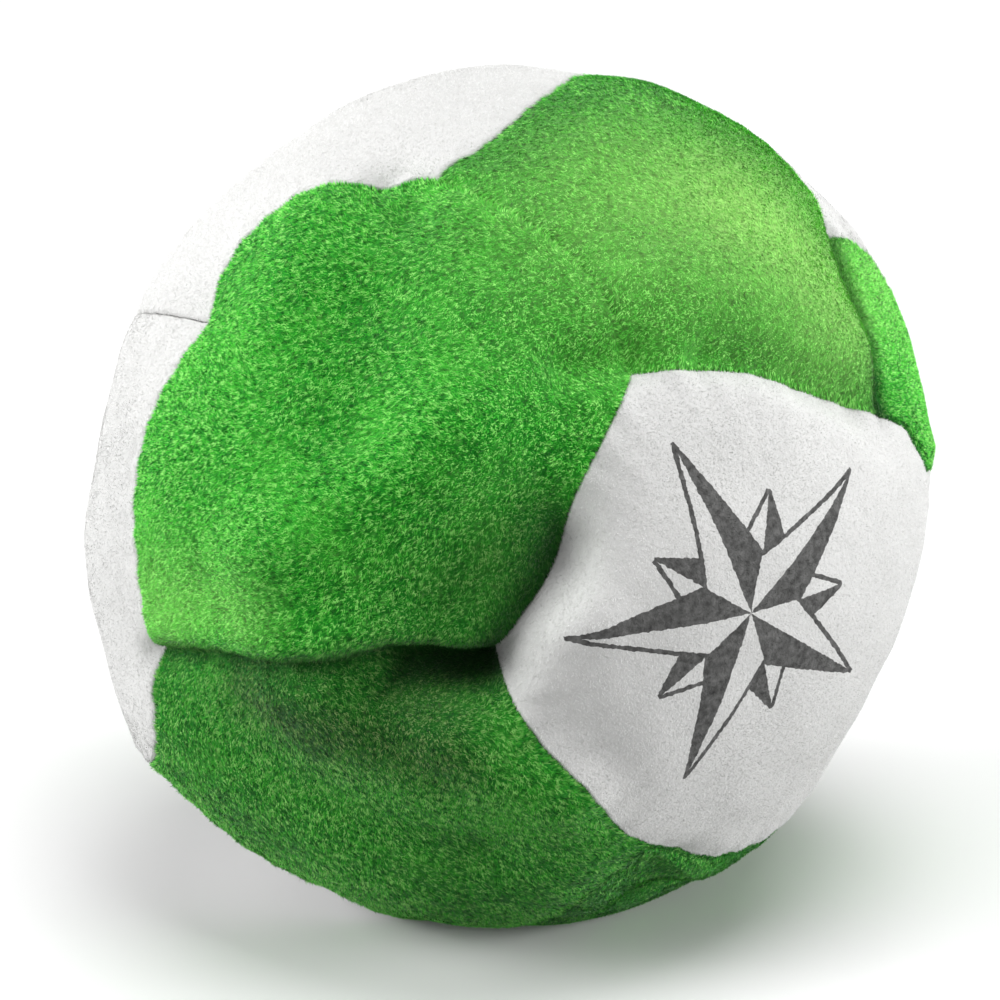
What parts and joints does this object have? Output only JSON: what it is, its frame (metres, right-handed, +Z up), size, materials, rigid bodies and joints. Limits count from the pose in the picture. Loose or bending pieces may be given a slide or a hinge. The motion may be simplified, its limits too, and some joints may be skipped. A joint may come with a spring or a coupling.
{
  "type": "footbag",
  "caption": "Small round kicking bag of soft nap-faced pentagon panels sewn edge to edge and filled with loose pellets; it settles onto a flat patch.",
  "frame": {"origin": "on the floor, under the middle of the bag's outline", "axes": "+Z up from the flat patch that the bag rests on; the printed front panel faces -Y"},
  "size_m": [0.0528, 0.0534, 0.0516],
  "materials": {
    "green_suede": "synthetic suede with a short brushed nap",
    "white_suede": "synthetic suede with a very short nap",
    "thread": "undyed twisted nylon sewing thread",
    "pellets": "loose plastic pellets"
  },
  "bodies": {
    "root": {"front_panel": "white_suede", "front_ring_panel_1": "green_suede", "front_ring_panel_2": "green_suede", "front_ring_panel_3": "green_suede", "front_ring_panel_4": "green_suede", "front_ring_panel_5": "green_suede", "rear_ring_panel_1": "white_suede", "rear_ring_panel_2": "white_suede", "rear_ring_panel_3": "white_suede", "rear_ring_panel_4": "white_suede", "rear_ring_panel_5": "white_suede", "rear_panel": "green_suede", "pellet_fill": "pellets", "front_ring_thread": "thread", "rear_ring_thread": "thread", "zigzag_thread": "thread", "closing_thread": "thread", "front_spoke_thread_1": "thread", "rear_spoke_thread_1": "thread", "front_spoke_thread_2": "thread", "rear_spoke_thread_2": "thread", "front_spoke_thread_3": "thread", "rear_spoke_thread_3": "thread", "front_spoke_thread_4": "thread", "rear_spoke_thread_4": "thread", "front_spoke_thread_5": "thread", "rear_spoke_thread_5": "thread"}
  },
  "joints": []
}
